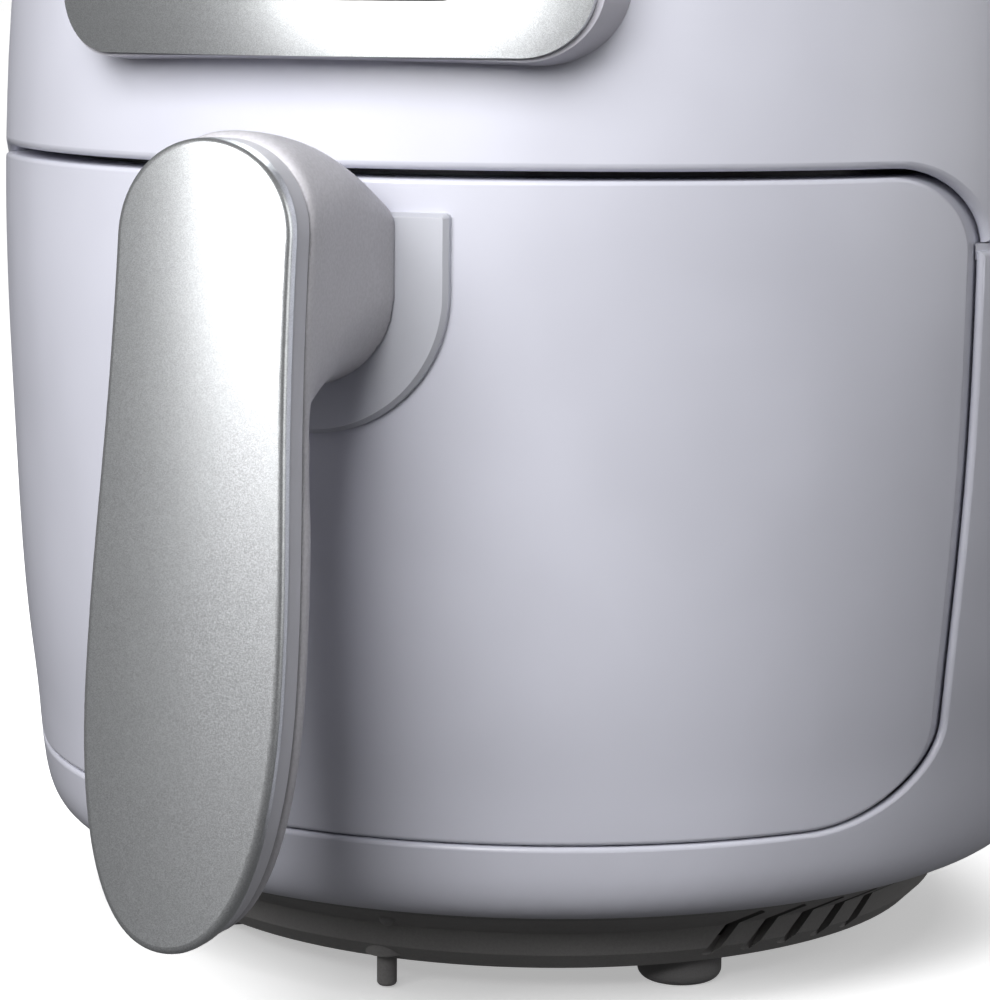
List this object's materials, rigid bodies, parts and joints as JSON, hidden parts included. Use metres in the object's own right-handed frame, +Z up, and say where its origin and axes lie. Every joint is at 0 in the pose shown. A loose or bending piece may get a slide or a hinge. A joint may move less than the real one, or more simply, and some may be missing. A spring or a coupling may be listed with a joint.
{
  "type": "hot-air fryer",
  "caption": "Round-bodied countertop hot-air fryer with a pull-out drawer, upright front handle, raised control panel, heater and fan above a removable crisper tray.",
  "frame": {"origin": "centre of the bottom of the overall box, on the surface the feet stand on", "axes": "+Z up, -Y towards the handle at the front, +X to the right as seen from the front"},
  "size_m": [0.225, 0.2826, 0.2775],
  "materials": {
    "white_plastic": "gloss moulded, faint lavender white",
    "drawer_plastic": "gloss moulded, faint lavender white",
    "dark_base_plastic": "fine texture",
    "rubber": "matt",
    "panel_side_plastic": "satin",
    "silver_paint": "metallic flake paint",
    "black_gloss": "polished",
    "circuit_board": "solder mask",
    "zinc_steel": "zinc plated",
    "liner_metal": "satin coating",
    "shroud_metal": "mill finish",
    "element_sheath": "oxidised",
    "ceramic": "unglazed",
    "guard_wire": "plated wire",
    "fan_metal": "pressed sheet",
    "fan_plastic": "moulded",
    "motor_core": "laminated",
    "motor_steel": "galvanised",
    "bronze": "sintered",
    "switch_plastic": "moulded",
    "plunger_plastic": "moulded",
    "nonstick": "non-stick coating with fine flecks",
    "satin_silver": "satin",
    "handle_side_plastic": "satin silver",
    "handle_grey_plastic": "fine matt texture",
    "silicone": "satin"
  },
  "bodies": {
    "housing": {"lower_housing": "white_plastic", "upper_housing": "white_plastic", "top_cover": "white_plastic", "base_pan": "dark_base_plastic", "rubber_feet": "rubber", "front_rest_pin": "dark_base_plastic", "cord_entry_bush": "rubber", "rear_air_grille": "dark_base_plastic", "panel_frame": "panel_side_plastic", "panel_fascia": "silver_paint", "display_window": "black_gloss", "control_board": "circuit_board", "power_board": "circuit_board", "control_board_screws": "zinc_steel", "shroud_screws": "zinc_steel", "bracket_screws": "zinc_steel", "cavity_liner": "liner_metal", "guide_rails": "liner_metal", "heater_shroud": "shroud_metal", "element_brackets": "shroud_metal", "heating_element": "element_sheath", "terminal_bushes": "ceramic", "element_guard": "guard_wire", "temperature_probe": "zinc_steel", "thermal_cutout": "zinc_steel", "motor_stator": "motor_core", "motor_can": "motor_steel", "motor_bracket": "motor_steel", "motor_bearings": "bronze", "drawer_switch": "switch_plastic"},
    "rotor": {"hot_air_fan": "fan_metal", "cooling_fan": "fan_plastic", "fan_nut": "zinc_steel", "motor_shaft": "zinc_steel", "motor_rotor": "motor_core"},
    "drawer": {"drawer_front": "drawer_plastic", "drawer_inner_panel": "dark_base_plastic", "pan": "nonstick", "pan_bracket": "nonstick", "pan_bracket_screws": "zinc_steel", "panel_screws": "zinc_steel", "escutcheon_plate": "satin_silver", "handle_trim": "silver_paint", "handle_cover": "handle_side_plastic", "handle_body": "handle_grey_plastic", "handle_screws": "zinc_steel"},
    "crisper": {"crisper_plate": "nonstick", "crisper_bumpers": "silicone"},
    "switch": {"switch_plunger": "plunger_plastic"}
  },
  "joints": [
    {"name": "drawer_slide", "type": "slide", "parent": "housing", "child": "drawer", "axis": [0, -1, 0], "range_m": [0, 0.215]},
    {"name": "fan_spin", "type": "hinge", "parent": "housing", "child": "rotor", "pos_m": [0, 0.02802, 0.2], "axis": [0, 0, 1], "continuous": true},
    {"name": "crisper_lift", "type": "slide", "parent": "drawer", "child": "crisper", "axis": [0, 0, 1], "range_m": [0, 0.07]},
    {"name": "switch_press", "type": "slide", "parent": "housing", "child": "switch", "axis": [0, 1, 0], "range_m": [0, 0.0016], "stiffness_N_per_m": 300}
  ]
}
